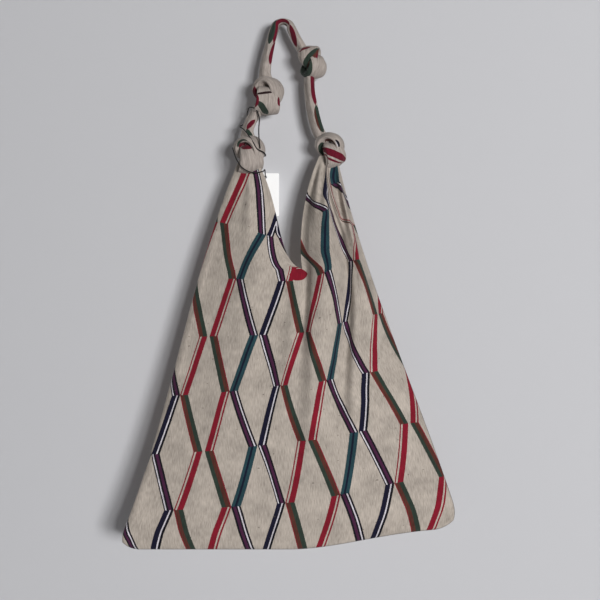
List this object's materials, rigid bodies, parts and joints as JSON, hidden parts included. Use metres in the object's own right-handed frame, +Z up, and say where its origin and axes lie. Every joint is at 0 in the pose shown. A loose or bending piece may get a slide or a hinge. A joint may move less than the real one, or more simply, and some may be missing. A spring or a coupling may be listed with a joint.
{
  "type": "tote bag",
  "caption": "Cream woven cotton tote bag with striped zig-zag lattice, horned sides and a knotted cloth strap, hanging by the strap, with a blank swing tag",
  "frame": {"origin": "underside of the strap at its top, where a peg or a shoulder carries the bag", "axes": "+X to the right seen from the front, +Y to the back, +Z up; the side seams and the hem lie in the XZ plane"},
  "size_m": [0.4187, 0.0671, 0.6684],
  "materials": {
    "cloth": "cream ribbed cotton with red, green, navy, teal and purple zig-zag stripes, matt",
    "card": "plain white card, matt",
    "cord": "black braided cord, matt"
  },
  "bodies": {
    "root": {"front_panel": "cloth", "back_panel": "cloth", "strap": "cloth", "swing_tag": "card", "tag_cord": "cord"}
  },
  "joints": []
}
